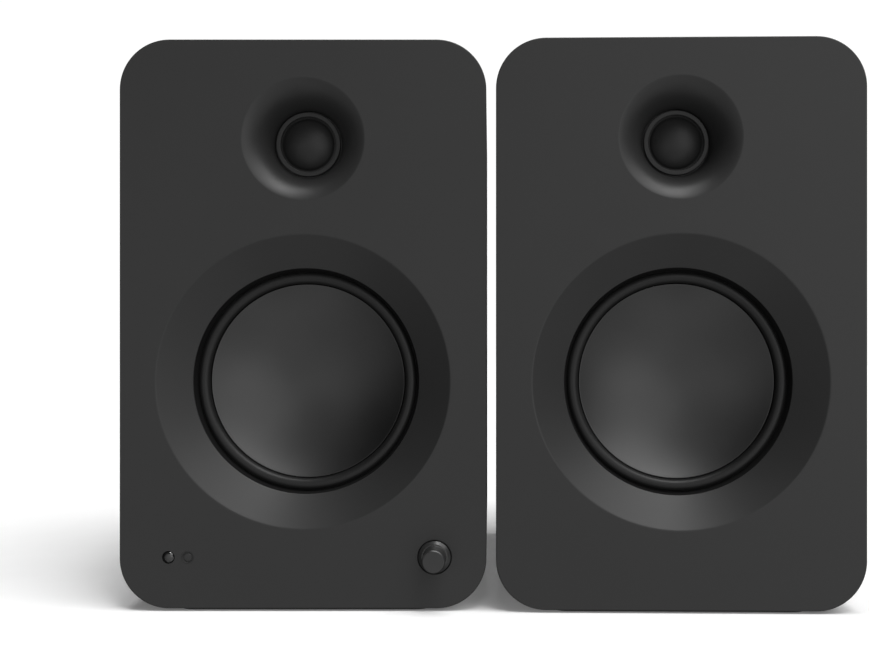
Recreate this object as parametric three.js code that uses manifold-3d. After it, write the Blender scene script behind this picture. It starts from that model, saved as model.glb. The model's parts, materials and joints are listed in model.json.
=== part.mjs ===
// A pair of two-way desktop loudspeakers, in millimetres, +Z up, fronts facing -Y.
// The left one is powered and carries the controls and the amplifier. The right one is passive.
// Each speaker is modelled in its own frame: x = 0 on its centre line, y = 0 on its front face
// with +y going into the cabinet, and z = 0 on the surface it stands on.
// The pair's origin is the centre of its bounding box in x and y, on that surface.
import * as THREE from "three";
import { mergeVertices } from "three/addons/utils/BufferGeometryUtils.js";
import Module from "manifold-3d";

const wasm = await Module();
wasm.setup();

// ---- Driving dimensions ----

const GAP = 0.3; // between pieces that touch
const PAST = 1; // how far a cutter runs past the face it cuts

const PASSIVE_AT = { x: 178.5, y: -4.9, toeIn: 0.0222 }; // from the powered one, and its turn in radians

const CABINET = { width: 174, height: 270, corner: 23.7, wall: 9, rear: 226 };
const PAD = { thickness: 1, width: 122, front: 4, rear: 221, corner: 8 };
const BAFFLE = { thickness: 22, edge: 0.8 };
const BOTTOM = PAD.thickness + GAP; // height of the cabinet's underside
const CENTRE = BOTTOM + CABINET.height / 2; // height of the middle of the front face

const WOOFER = { z: CENTRE - 27.5, mouth: 69.96, bore: 54.4, boreFrom: 9.92, seat: 15.6, rebate: 63.3 };
const CONE = { radius: 47.07, edge: 16.23, dish: 13, thickness: 1 };
const ROLL = { inner: 47.4, outer: 53.2, height: 2.9, plane: 16, thickness: 1, flange: 62.9 };
const BASKET = { front: 17.3, flange: 3, rim: 60.5, foot: 41, wall: 2.4, base: 47.5, bore: 22 };
const BASKET_WINDOW = { count: 6, width: 34, depth: 36, middle: 48 }; // middle is a radius
const COIL = { radius: 12.9, wall: 0.6, front: 29.7, rear: 56, winding: 9 };
const SPIDER = { inner: 13.6, outer: 39.4, plane: 40.2, wave: 1.1, waves: 2, thickness: 0.9 };
const MOTOR = { plate: 36, magnet: 42, bore: 22, yoke: 38, pole: 11.8, gap: 14.6, front: 47.8 };
const MOTOR_THICKNESS = { plate: 5, magnet: 13, yoke: 5 };

const TWEETER = { z: CENTRE + 87.9, mouth: 29.26, throat: 17, throatAt: 15.4, seat: 18.5, rebate: 26.3 };
const RING = { inner: 14.05, outer: 15.74, front: 16.19, edge: 0.4 };
const DOME = { radius: 12.3, skirt: 13.7, apex: 13.1, base: 17.6, thickness: 0.5, coil: 24 };
const TWEETER_MOTOR = { flange: 26, flangeThickness: 3, cup: 21, front: 18.8, rear: 45 };

const CONTROL_Z = CENTRE - 110.7; // height of the knob and of both windows
const KNOB = { x: 62.4, radius: 5.5, front: -12.5, flange: 7.4, shoulder: -0.8, round: 1.3, back: 1.2 };
const KNOB_RECESS = { radius: 8.2, depth: 1.9 };
const SHAFT = { radius: 3, front: -7.7, rear: 15 };
const ENCODER = { side: 14, front: 12.3, rear: 21.3, bush: 4, bushFront: 6.5 };
const WINDOW = { status: -63.8, sensor: -54.6, radius: 2.75, length: 23.6 };

const PANEL = { front: 213, rear: 222 };
const PORT = { z: 216, bore: 20, wall: 2, neck: 24, lip: 31, lipThickness: 2.2, inner: 135, mouth: 28 };
const PLATE = { width: 124, height: 146, corner: 6, bottom: 13, thickness: 2.5 };
const PLATE_CUT = { width: 108, height: 130 }; // the opening in the rear panel behind it
const CUP = { z: 92, flange: 38, body: 34, floor: 30, floorAt: 204, wall: 2 };
const POST = { pitch: 19, stud: 2, inside: 12, base: 6.5, baseThickness: 3 };
const WASHER = { radius: 5.5, thickness: 1 };
const NUT = { radius: 6.2, length: 12.4, flutes: 6, flute: 1.1, collar: 2 };
const INLET = { x: 34, z: 36, width: 27, height: 19.5, depth: 22, wall: 1.5, floor: 3, proud: 1.5 };
const PIN = { width: 2, height: 4, length: 12, at: [[-7, -1.5], [7, -1.5], [0, 3]] };
const SWITCH = { x: -34, z: 36, width: 13, height: 19, depth: 16, bezel: 2, proud: 0.8, floor: 2 };
const KEY = { tilt: 8, depth: 7, taper: 2.5, crown: 0.4 }; // the rocker: a shallow V, tilted in degrees
const JACKS = { x: 34, z: 104, pitch: 16, sleeve: 4.2, reach: 9, hole: 1.6, depth: 12, height: 13 };
const AUX = { rise: 15, radius: 4, hole: 1.8 }; // its height is over the other two jacks
const DATA_PORT = { x: 34, z: 78, width: 9.4, height: 3.8, depth: 8, wall: 0.4, tongue: 0.7 };
const PLATE_POSTS = { x: -34, z: 126 };

const AMP_BOARD = { width: 104, height: 126, thickness: 1.6, behind: 23 }; // behind is inside the plate
const HEAT_SINK = { x: -24, up: 38, width: 44, height: 26, depth: 22 }; // up is from the board's middle
const CAPACITORS = { x: [14, 38], up: -36, radius: 9, depth: 30 };
const CHOKE = { x: 24, up: 4, side: 18, depth: 14 };
const TRANSFORMER = { y: 126, inner: 12, outer: 34, height: 30 };
const CROSSOVER = { y: 138, width: 96, length: 70, thickness: 1.6, standoff: 5, foot: 3 };
const CROSSOVER_PARTS = [
  { radius: 17, height: 15, x: -26, y: -2 },
  { radius: 11, height: 26, x: 12, y: -14 },
  { radius: 8, height: 22, x: 34, y: 10 },
];

const FINE = 24; // steps round the pieces seen from the front
const PLAIN = 16; // steps round the pieces inside and behind
const SMALL = 10; // steps round studs, shafts and sockets

// ---- Finishes ----

const LOOK = {
  charcoal: { color: 0x37383a, roughness: 0.6 },
  wrap: { color: 0x303133, roughness: 0.65 },
  rubber: { color: 0x161617, roughness: 0.55 },
  foil: { color: 0x77787a, roughness: 0.35, metalness: 0.8 },
  silk: { color: 0x202022, roughness: 0.5 },
  trim: { color: 0x3f4042, roughness: 0.4 },
  steel: { color: 0x8f9193, roughness: 0.4, metalness: 0.9 },
  ferrite: { color: 0x2b2b2e, roughness: 0.7 },
  copper: { color: 0xb06a3a, roughness: 0.4, metalness: 0.8 },
  cloth: { color: 0xb59a5a, roughness: 0.9 },
  plastic: { color: 0x18181a, roughness: 0.5 },
  brass: { color: 0xc8a04a, roughness: 0.3, metalness: 0.9 },
  red: { color: 0xa01818, roughness: 0.4 },
  circuit: { color: 0x1f4a2c, roughness: 0.5 },
  lens: { color: 0x101012, roughness: 0.1 },
};

// ---- Solids ----

const alongY = (geometry, rear) => geometry.rotateX(Math.PI / 2).translate(0, rear, 0);

function solidOf(geometry) {
  const flat = geometry.index ? geometry.toNonIndexed() : geometry;
  const bare = new THREE.BufferGeometry().setAttribute("position", flat.getAttribute("position"));
  const merged = mergeVertices(bare, 1e-4);
  const triVerts = new Uint32Array(merged.index.array);
  const vertProperties = merged.attributes.position.array;
  return new wasm.Manifold(new wasm.Mesh({ numProp: 3, vertProperties, triVerts }));
}

function geometryOf(solid) {
  const mesh = solid.getMesh();
  const positions = new THREE.BufferAttribute(new Float32Array(mesh.vertProperties), 3);
  const geometry = new THREE.BufferGeometry().setAttribute("position", positions);
  geometry.setIndex(new THREE.BufferAttribute(new Uint32Array(mesh.triVerts), 1));
  const faceted = geometry.toNonIndexed();
  faceted.computeVertexNormals();
  return faceted;
}

// A body of revolution about the y axis. Its outline is a list of [radius, y] pairs.
function turned(outline, steps) {
  const points = outline.map(([radius, y]) => new THREE.Vector2(radius, y));
  const onAxis = points[0].x === 0 && points.at(-1).x === 0;
  if (THREE.ShapeUtils.area(points) < 0) points.reverse();
  if (!onAxis) points.push(points[0].clone());
  return new THREE.LatheGeometry(points, steps);
}

const disc = (radius, front, rear, steps = PLAIN) =>
  turned([[0, front], [radius, front], [radius, rear], [0, rear]], steps);

const tube = (inner, outer, front, rear, steps = PLAIN) =>
  turned([[inner, front], [outer, front], [outer, rear], [inner, rear]], steps);

function roundedRectangle(width, height, corner) {
  const right = width / 2 - corner;
  const top = height / 2 - corner;
  const shape = new THREE.Shape();
  shape.absarc(right, top, corner, 0, Math.PI / 2);
  shape.absarc(-right, top, corner, Math.PI / 2, Math.PI);
  shape.absarc(-right, -top, corner, Math.PI, 1.5 * Math.PI);
  shape.absarc(right, -top, corner, 1.5 * Math.PI, 2 * Math.PI);
  return shape;
}

// A flat shape, drawn in x and z, given thickness from y = front to y = rear.
function slab(shape, front, rear, curveSegments = 5) {
  const depth = rear - front;
  return alongY(new THREE.ExtrudeGeometry(shape, { depth, bevelEnabled: false, curveSegments }), rear);
}

function block(x, z, width, height, front, rear) {
  const middle = (front + rear) / 2;
  return new THREE.BoxGeometry(width, rear - front, height).translate(x, middle, z);
}

const join = (...shapes) => shapes.map(solidOf).reduce((whole, piece) => whole.add(piece));
const cut = (whole, ...shapes) => shapes.map(solidOf).reduce((rest, piece) => rest.subtract(piece), whole);

function curvePoints(start, pull, end, steps) {
  const curve = new THREE.QuadraticBezierCurve(
    new THREE.Vector2(...start),
    new THREE.Vector2(...pull),
    new THREE.Vector2(...end),
  );
  return curve.getPoints(steps).map((point) => [point.x, point.y]);
}

function mesh(name, shape, look, x = 0, z = 0) {
  const geometry = shape.isBufferGeometry ? shape : geometryOf(shape);
  const piece = new THREE.Mesh(geometry, new THREE.MeshStandardMaterial(LOOK[look]));
  piece.name = name;
  piece.position.set(x, 0, z);
  return piece;
}

// ---- Enclosure ----

function basePad(name) {
  const length = PAD.rear - PAD.front;
  const outline = roundedRectangle(PAD.width, length, PAD.corner);
  const sheet = new THREE.ExtrudeGeometry(outline, {
    depth: PAD.thickness,
    bevelEnabled: false,
    curveSegments: 4,
  });
  return mesh(name, sheet.translate(0, PAD.front + length / 2, 0), "rubber");
}

// The outline of the face, made smaller all round.
function insideCabinet(inset) {
  return roundedRectangle(CABINET.width - 2 * inset, CABINET.height - 2 * inset, CABINET.corner - inset);
}

function cabinet(name) {
  const shell = insideCabinet(0);
  shell.holes.push(insideCabinet(CABINET.wall));
  return mesh(name, slab(shell, BAFFLE.thickness + GAP, CABINET.rear), "wrap", 0, CENTRE);
}

// The one-piece front: a conical countersink for the woofer and a flared horn for the tweeter.
function baffleBlank() {
  const { thickness, edge } = BAFFLE;
  const front = new THREE.ExtrudeGeometry(insideCabinet(edge), {
    depth: thickness - 2 * edge,
    bevelThickness: edge,
    bevelSize: edge,
    bevelSegments: 1,
    curveSegments: 5,
  });
  return solidOf(alongY(front, thickness - edge).translate(0, 0, CENTRE));
}

function wooferOpening() {
  const slope = (WOOFER.mouth - WOOFER.bore) / WOOFER.boreFrom;
  const rear = BAFFLE.thickness + PAST;
  const outline = [
    [0, -PAST],
    [WOOFER.mouth + slope * PAST, -PAST],
    [WOOFER.bore, WOOFER.boreFrom],
    [WOOFER.bore, WOOFER.seat],
    [WOOFER.rebate, WOOFER.seat],
    [WOOFER.rebate, rear],
    [0, rear],
  ];
  return turned(outline, FINE).translate(0, 0, WOOFER.z);
}

function tweeterOpening() {
  const flare = curvePoints(
    [TWEETER.mouth, 0],
    [TWEETER.throat + 3.5, 5.5],
    [TWEETER.throat, TWEETER.throatAt],
    5,
  );
  const rear = BAFFLE.thickness + PAST;
  const outline = [
    [0, -PAST],
    [TWEETER.mouth, -PAST],
    ...flare,
    [TWEETER.throat, TWEETER.seat],
    [TWEETER.rebate, TWEETER.seat],
    [TWEETER.rebate, rear],
    [0, rear],
  ];
  return turned(outline, FINE).translate(0, 0, TWEETER.z);
}

function frontBaffle(name, powered) {
  let front = cut(baffleBlank(), wooferOpening(), tweeterOpening());
  if (!powered) return mesh(name, front, "charcoal");
  const rear = BAFFLE.thickness + PAST;
  const pocket = ENCODER.side + 2;
  front = cut(
    front,
    disc(KNOB_RECESS.radius, -PAST, KNOB_RECESS.depth).translate(KNOB.x, 0, CONTROL_Z),
    disc(ENCODER.bush + 0.4, 0, rear, SMALL).translate(KNOB.x, 0, CONTROL_Z),
    block(KNOB.x, CONTROL_Z, pocket, pocket, ENCODER.front - GAP, rear),
    disc(WINDOW.radius + GAP, -PAST, rear, SMALL).translate(WINDOW.status, 0, CONTROL_Z),
    disc(WINDOW.radius + GAP, -PAST, rear, SMALL).translate(WINDOW.sensor, 0, CONTROL_Z),
  );
  return mesh(name, front, "charcoal");
}

function rearPanel(name, opening) {
  const outline = insideCabinet(CABINET.wall + GAP);
  const board = slab(outline, PANEL.front, PANEL.rear).translate(0, 0, CENTRE);
  const portHole = disc(PORT.neck + GAP, PANEL.front - PAST, PANEL.rear + PAST).translate(0, 0, PORT.z);
  return mesh(name, cut(solidOf(board), portHole, opening), "wrap");
}

function portTube(name) {
  const { bore, wall, neck, lip, inner, mouth } = PORT;
  const lipFront = PANEL.rear + GAP;
  const lipRear = lipFront + PORT.lipThickness;
  const outline = [
    [bore + wall, inner],
    [bore + wall, PANEL.front - 3],
    [neck, PANEL.front - 1],
    [neck, lipFront],
    [lip, lipFront],
    [lip, lipRear],
    ...curvePoints([mouth, lipRear], [bore + 0.5, lipRear], [bore, PANEL.front - 4], 4),
    [bore, inner],
  ];
  return mesh(name, turned(outline, PLAIN), "plastic", 0, PORT.z);
}

// ---- Woofer ----

const dishFront = (radius) => CONE.edge + CONE.dish * (1 - (radius / CONE.radius) ** 2);

function wooferCone(name) {
  const steps = 5;
  const rings = Array.from({ length: steps + 1 }, (_, i) => (CONE.radius * i) / steps);
  const front = rings.map((radius) => [radius, dishFront(radius)]);
  const back = rings.map((radius) => [radius, dishFront(radius) + CONE.thickness]).reverse();
  return mesh(name, turned([...front, ...back], FINE), "foil", 0, WOOFER.z);
}

function rollArc(inner, outer, height, plane, steps) {
  const middle = (inner + outer) / 2;
  const reach = (outer - inner) / 2;
  return Array.from({ length: steps + 1 }, (_, i) => {
    const angle = (Math.PI * i) / steps;
    return [middle - reach * Math.cos(angle), plane - height * Math.sin(angle)];
  });
}

function wooferSurround(name) {
  const { inner, outer, height, plane, thickness, flange } = ROLL;
  const back = plane + thickness;
  const underside = rollArc(inner + thickness, outer - thickness, height, back, 4).reverse();
  const outline = [
    ...rollArc(inner, outer, height, plane, 5),
    [flange, plane],
    [flange, back],
    ...underside,
    [inner, back],
  ];
  return mesh(name, turned(outline, FINE), "rubber", 0, WOOFER.z);
}

function wooferBasket(name) {
  const { front, flange, rim, foot, wall, base, bore } = BASKET;
  const { count, width, depth, middle } = BASKET_WINDOW;
  const back = front + flange;
  const bend = base - 3.5;
  const outline = [
    [ROLL.outer + 1, front],
    [ROLL.flange, front],
    [ROLL.flange, back],
    [rim, back],
    [foot, bend],
    [foot, base],
    [bore, base],
    [bore, base - 2],
    [foot - wall, base - 2],
    [foot - wall, bend - 1],
    [rim - wall, back],
  ];
  const openings = Array.from({ length: count }, (_, i) =>
    block(middle, 0, depth, width, back + 2.5, bend - 4).rotateY((2 * Math.PI * i) / count),
  );
  return mesh(name, cut(solidOf(turned(outline, FINE)), ...openings), "steel", 0, WOOFER.z);
}

function wooferVoiceCoil(name) {
  const { radius, wall, front, rear, winding } = COIL;
  const outline = [
    [radius - wall / 2, front],
    [radius + wall / 2, front],
    [radius + wall / 2, rear - winding],
    [radius + wall * 1.5, rear - winding],
    [radius + wall * 1.5, rear],
    [radius - wall / 2, rear],
  ];
  return mesh(name, turned(outline, PLAIN), "copper", 0, WOOFER.z);
}

function wooferSpider(name) {
  const { inner, outer, plane, wave, waves, thickness } = SPIDER;
  const steps = 4 * waves; // a crest, a zero, a trough and a zero in each wave
  const ripple = (offset) =>
    Array.from({ length: steps + 1 }, (_, i) => {
      const radius = inner + ((outer - inner) * i) / steps;
      return [radius, plane + offset + wave * Math.sin((Math.PI * i) / 2)];
    });
  const outline = [...ripple(0), ...ripple(thickness).reverse()];
  return mesh(name, turned(outline, PLAIN), "cloth", 0, WOOFER.z);
}

function wooferMotor(prefix) {
  const { plate, magnet, bore, yoke, pole, gap, front } = MOTOR;
  const plateBack = front + MOTOR_THICKNESS.plate;
  const magnetFront = plateBack + GAP;
  const magnetRear = magnetFront + MOTOR_THICKNESS.magnet;
  const yokeFront = magnetRear + GAP;
  const yokeRear = yokeFront + MOTOR_THICKNESS.yoke;
  const poleAndPlate = [[0, front], [pole, front], [pole, yokeFront], [yoke, yokeFront]];
  poleAndPlate.push([yoke, yokeRear], [0, yokeRear]);
  return [
    mesh(prefix + "woofer_top_plate", tube(gap, plate, front, plateBack), "steel", 0, WOOFER.z),
    mesh(prefix + "woofer_magnet", tube(bore, magnet, magnetFront, magnetRear), "ferrite", 0, WOOFER.z),
    mesh(prefix + "woofer_yoke", turned(poleAndPlate, PLAIN), "steel", 0, WOOFER.z),
  ];
}

// ---- Tweeter ----

function tweeterRing(name) {
  const { inner, outer, front, edge } = RING;
  const rear = TWEETER_MOTOR.front - GAP;
  const outline = [
    [inner, front + edge],
    [inner + edge, front],
    [outer - edge, front],
    [outer, front + edge],
    [outer, rear],
    [inner, rear],
  ];
  return mesh(name, turned(outline, FINE), "trim", 0, TWEETER.z);
}

// The dome, its folded edge and the coil former behind it, as one moulding.
function tweeterDome(name) {
  const { radius, skirt, apex, base, thickness, coil } = DOME;
  const cap = (inset, steps) =>
    Array.from({ length: steps + 1 }, (_, i) => {
      const at = ((radius - inset) * i) / steps;
      return [at, base + inset - (base - apex) * (1 - (at / (radius - inset)) ** 2)];
    });
  const outline = [
    ...cap(0, 4),
    [radius + 0.6, base - 0.5],
    [skirt, base],
    [skirt, base + thickness],
    [radius + 0.2, base + thickness],
    [radius + 0.2, coil],
    [radius - thickness, coil],
    ...cap(thickness, 3).reverse(),
  ];
  return mesh(name, turned(outline, FINE), "silk", 0, TWEETER.z);
}

function tweeterMotor(name) {
  const { flange, flangeThickness, cup, front, rear } = TWEETER_MOTOR;
  const slot = { inner: DOME.radius - 1, outer: DOME.radius + 0.8, floor: DOME.coil + 2 };
  const outline = [
    [0, front],
    [slot.inner, front],
    [slot.inner, slot.floor],
    [slot.outer, slot.floor],
    [slot.outer, front],
    [flange, front],
    [flange, front + flangeThickness],
    [cup, front + flangeThickness],
    [cup, rear],
    [0, rear],
  ];
  return mesh(name, turned(outline, PLAIN), "ferrite", 0, TWEETER.z);
}

// ---- Controls on the powered speaker's front ----

function volumeKnob(name) {
  const { radius, front, flange, shoulder, round, back } = KNOB;
  const socket = SHAFT.radius + GAP;
  const rim = curvePoints([flange - round, shoulder], [flange, shoulder], [flange, shoulder + round], 3);
  const outline = [
    [0, front],
    [radius - 0.5, front],
    [radius, front + 0.5],
    [radius, shoulder],
    ...rim,
    [flange, back],
    [socket, back],
    [socket, SHAFT.front - GAP],
    [0, SHAFT.front - GAP],
  ];
  return mesh(name, turned(outline, FINE), "charcoal", KNOB.x, CONTROL_Z);
}

function encoder() {
  const { side, front, rear, bush, bushFront } = ENCODER;
  const bore = SHAFT.radius + GAP;
  const body = join(block(0, 0, side, side, front, rear), disc(bush, bushFront, front + PAST, SMALL));
  const housing = cut(body, disc(bore, bushFront - PAST, rear + PAST, SMALL));
  const shaft = disc(SHAFT.radius, SHAFT.front, SHAFT.rear, SMALL);
  const plunger = disc(SHAFT.radius, SHAFT.rear + GAP, rear - 1.5, SMALL);
  return [
    mesh("encoder_body", housing, "steel", KNOB.x, CONTROL_Z),
    mesh("encoder_shaft", shaft, "steel", KNOB.x, CONTROL_Z),
    mesh("encoder_plunger", plunger, "plastic", KNOB.x, CONTROL_Z),
  ];
}

function frontWindow(name, x) {
  const { radius, length } = WINDOW;
  const outline = [[0, -0.5], [radius * 0.6, -0.3], [radius, 0.2], [radius, length], [0, length]];
  return mesh(name, turned(outline, SMALL), "lens", x, CONTROL_Z);
}

// ---- Terminals ----

// One binding post: a threaded stud in an insulating foot, a washer, and a fluted nut on the stud.
function bindingPost(prefix, colour, x, z, foot) {
  const base = foot + POST.baseThickness;
  const washerFront = base + GAP;
  const washerRear = washerFront + WASHER.thickness;
  const nutFront = washerRear + GAP;
  const nutRear = nutFront + NUT.length;
  const stud = disc(POST.stud, foot - POST.inside, nutRear - 3, SMALL);
  const post = join(stud, disc(POST.base, foot, base, SMALL));
  const bore = POST.stud + GAP;
  const washer = tube(bore, WASHER.radius, washerFront, washerRear, SMALL);
  const grips = Array.from({ length: NUT.flutes }, (_, i) =>
    disc(NUT.flute, nutFront + NUT.collar, nutRear + PAST, 6)
      .translate(NUT.radius + 0.2, 0, 0)
      .rotateY((2 * Math.PI * i) / NUT.flutes),
  );
  const fluted = cut(solidOf(tube(bore, NUT.radius, nutFront, nutRear, SMALL)), ...grips);
  const tone = colour === "red" ? "red" : "plastic";
  return [
    mesh(prefix + "post_" + colour, post, "brass", x, z),
    mesh(prefix + "washer_" + colour, washer, "brass", x, z),
    mesh(prefix + "nut_" + colour, fluted, tone, x, z),
  ];
}

function terminalCup() {
  const { z, flange, body, floor, floorAt, wall } = CUP;
  const lip = PANEL.rear + GAP;
  const outline = [
    [0, floorAt],
    [floor + wall, floorAt],
    [body, lip],
    [flange, lip],
    [flange, lip + 2],
    [body - wall, lip + 2],
    [floor, floorAt + wall],
    [0, floorAt + wall],
  ];
  const hole = disc(POST.stud + GAP, floorAt - PAST, floorAt + wall + PAST, SMALL);
  const studs = [-1, 1].map((side) => hole.clone().translate((side * POST.pitch) / 2, 0, 0));
  return mesh("terminal_cup", cut(solidOf(turned(outline, FINE)), ...studs), "plastic", 0, z);
}

// ---- Powered speaker's rear ----

const plateFront = PANEL.rear + GAP;
const plateRear = plateFront + PLATE.thickness;
const plateCentre = PLATE.bottom + PLATE.height / 2;

function plateOpening() {
  return block(0, plateCentre, PLATE_CUT.width, PLATE_CUT.height, PANEL.front - PAST, PANEL.rear + PAST);
}

function amplifierPlate() {
  const sheet = slab(roundedRectangle(PLATE.width, PLATE.height, PLATE.corner), plateFront, plateRear, 4);
  const near = plateFront - PAST;
  const far = plateRear + PAST;
  const hole = (x, z, radius) => disc(radius, near, far, SMALL).translate(x, 0, z);
  const jackX = [-1, 1].map((side) => JACKS.x + (side * JACKS.pitch) / 2);
  const postX = [-1, 1].map((side) => PLATE_POSTS.x + (side * POST.pitch) / 2);
  const made = cut(
    solidOf(sheet.translate(0, 0, plateCentre)),
    ...[INLET, SWITCH, DATA_PORT].map(({ x, z, width, height }) =>
      block(x, z, width + 2 * GAP, height + 2 * GAP, near, far),
    ),
    hole(JACKS.x, JACKS.z + AUX.rise, AUX.radius + GAP),
    ...jackX.map((x) => hole(x, JACKS.z, JACKS.sleeve + GAP)),
    ...postX.map((x) => hole(x, PLATE_POSTS.z, POST.stud + GAP)),
  );
  return mesh("amplifier_plate", made, "plastic");
}

function mainsInlet() {
  const { x, z, width, height, depth, wall, proud } = INLET;
  const rear = plateRear + proud;
  const floor = rear - depth + INLET.floor;
  const shell = solidOf(block(0, 0, width, height, rear - depth, rear));
  const hollow = block(0, 0, width - 2 * wall, height - 2 * wall, floor, rear + PAST);
  const pins = PIN.at.map(([px, pz]) =>
    solidOf(block(px, pz, PIN.width, PIN.height, floor - PAST, floor + PIN.length)),
  );
  const made = pins.reduce((whole, pin) => whole.add(pin), cut(shell, hollow));
  return mesh("mains_inlet", made, "plastic", x, z);
}

function powerSwitch() {
  const { x, z, width, height, depth, bezel, proud, floor } = SWITCH;
  const rear = plateRear + proud;
  const hollow = block(0, 0, width - bezel, height - bezel, rear - depth + floor, rear + PAST);
  const housing = cut(solidOf(block(0, 0, width, height, rear - depth, rear)), hollow);
  // The key has one half pressed in. It is drawn in y and z, and given its width along x.
  const half = (height - bezel) / 2 - 2 * GAP;
  const lift = Math.tan((2 * KEY.tilt * Math.PI) / 180) * half;
  const side = new THREE.Shape([
    new THREE.Vector2(-KEY.depth, KEY.taper - half),
    new THREE.Vector2(0, -half),
    new THREE.Vector2(lift, -half),
    new THREE.Vector2(KEY.crown, 0),
    new THREE.Vector2(0, half),
    new THREE.Vector2(-KEY.depth, half - KEY.taper),
  ]);
  const keyWidth = width - bezel - 2 * GAP;
  const key = new THREE.ExtrudeGeometry(side, { depth: keyWidth, bevelEnabled: false });
  key.applyMatrix4(new THREE.Matrix4().makeBasis(
    new THREE.Vector3(0, 1, 0),
    new THREE.Vector3(0, 0, 1),
    new THREE.Vector3(1, 0, 0),
  ));
  return [
    mesh("switch_housing", housing, "plastic", x, z),
    mesh("power_rocker", key.translate(-keyWidth / 2, rear, 0), "plastic", x, z),
  ];
}

// Two sleeved jacks side by side with a plain one above them, in one moulding.
function audioJacks() {
  const front = plateFront - JACKS.depth;
  const inner = plateFront - GAP;
  const sleeveX = [-1, 1].map((side) => (side * JACKS.pitch) / 2);
  const sleeve = (x) => disc(JACKS.sleeve, front + PAST, plateRear + JACKS.reach, SMALL).translate(x, 0, 0);
  const bore = (x) => disc(JACKS.hole, front + 4, plateRear + JACKS.reach + PAST, 8).translate(x, 0, 0);
  const body = join(
    block(0, 0, 2 * JACKS.pitch, JACKS.height, front, inner),
    block(0, AUX.rise - 2, 3 * AUX.radius, AUX.rise, front, inner),
    disc(AUX.radius, front, plateRear + 1, SMALL).translate(0, 0, AUX.rise),
    ...sleeveX.map(sleeve),
  );
  const auxBore = disc(AUX.hole, front + 2, plateRear + 2, 8).translate(0, 0, AUX.rise);
  return mesh("audio_jack_block", cut(body, auxBore, ...sleeveX.map(bore)), "plastic", JACKS.x, JACKS.z);
}

function dataSocket() {
  const { x, z, width, height, depth, wall, tongue } = DATA_PORT;
  const front = plateRear - depth;
  const shell = solidOf(block(0, 0, width, height, front, plateRear + wall));
  const hollow = block(0, 0, width - 2 * wall, height - 2 * wall, front + PAST, plateRear + PAST);
  const blade = block(0, 0, width - 2.6, tongue, front + 0.5, plateRear - 0.8);
  return mesh("data_socket", cut(shell, hollow).add(solidOf(blade)), "steel", x, z);
}

function amplifierBoard() {
  const rear = plateFront - AMP_BOARD.behind;
  const front = rear - AMP_BOARD.thickness;
  const sink = HEAT_SINK;
  const made = join(
    block(0, plateCentre, AMP_BOARD.width, AMP_BOARD.height, front, rear),
    block(sink.x, plateCentre + sink.up, sink.width, sink.height, front - sink.depth, front + PAST),
    block(CHOKE.x, plateCentre + CHOKE.up, CHOKE.side, CHOKE.side, front - CHOKE.depth, front + PAST),
    ...CAPACITORS.x.map((x) =>
      disc(CAPACITORS.radius, front - CAPACITORS.depth, front + PAST, SMALL)
        .translate(x, 0, plateCentre + CAPACITORS.up),
    ),
  );
  return mesh("amplifier_board", made, "circuit");
}

// A disc that stands on a level surface at height z.
const upright = (radius, height, x, y, z) =>
  disc(radius, 0, height, SMALL).rotateX(Math.PI / 2).translate(x, y, z);

function transformer() {
  const { y, inner, outer, height } = TRANSFORMER;
  const ring = tube(inner, outer, 0, height).rotateX(Math.PI / 2);
  return mesh("transformer", ring.translate(0, y, BOTTOM + CABINET.wall + GAP), "copper");
}

function crossoverBoard() {
  const { y, width, length, thickness, standoff, foot } = CROSSOVER;
  const bottom = BOTTOM + CABINET.wall + standoff;
  const cornerX = width / 2 - 2 * foot;
  const cornerY = length / 2 - 2 * foot;
  const corners = [[-cornerX, -cornerY], [cornerX, -cornerY], [-cornerX, cornerY], [cornerX, cornerY]];
  const made = join(
    new THREE.BoxGeometry(width, length, thickness).translate(0, y, bottom + thickness / 2),
    ...CROSSOVER_PARTS.map((part) => upright(part.radius, part.height, part.x, y + part.y, bottom + PAST)),
    ...corners.map(([cx, cy]) => upright(foot, standoff, cx, y + cy, bottom - standoff + GAP)),
  );
  return mesh("crossover_board", made, "circuit");
}

// ---- Assembly ----

function speakerBody(prefix, powered, rearOpening) {
  return [
    basePad(prefix + "base_pad"),
    cabinet(prefix + "cabinet"),
    frontBaffle(prefix + "front_baffle", powered),
    rearPanel(prefix + "rear_panel", rearOpening),
    portTube(prefix + "port_tube"),
    wooferCone(prefix + "woofer_cone"),
    wooferSurround(prefix + "woofer_surround"),
    wooferBasket(prefix + "woofer_basket"),
    wooferVoiceCoil(prefix + "woofer_voice_coil"),
    wooferSpider(prefix + "woofer_spider"),
    ...wooferMotor(prefix),
    tweeterRing(prefix + "tweeter_ring"),
    tweeterDome(prefix + "tweeter_dome"),
    tweeterMotor(prefix + "tweeter_motor"),
  ];
}

function terminals(prefix, x, z, foot) {
  return ["black", "red"].flatMap((colour, i) =>
    bindingPost(prefix, colour, x + (i - 0.5) * POST.pitch, z, foot),
  );
}

const powered = new THREE.Group();
powered.add(
  ...speakerBody("active_", true, plateOpening()),
  volumeKnob("volume_knob"),
  ...encoder(),
  frontWindow("status_window", WINDOW.status),
  frontWindow("sensor_window", WINDOW.sensor),
  amplifierPlate(),
  mainsInlet(),
  ...powerSwitch(),
  audioJacks(),
  dataSocket(),
  ...terminals("active_", PLATE_POSTS.x, PLATE_POSTS.z, plateRear + GAP),
  amplifierBoard(),
  transformer(),
);

const cupOpening = disc(CUP.body + GAP, PANEL.front - PAST, PANEL.rear + PAST, FINE).translate(0, 0, CUP.z);
const passive = new THREE.Group();
passive.add(
  ...speakerBody("passive_", false, cupOpening),
  terminalCup(),
  ...terminals("passive_", 0, CUP.z, CUP.floorAt + CUP.wall + GAP),
  crossoverBoard(),
);
passive.position.set(PASSIVE_AT.x, PASSIVE_AT.y, 0);
passive.rotation.z = -PASSIVE_AT.toeIn;

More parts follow.
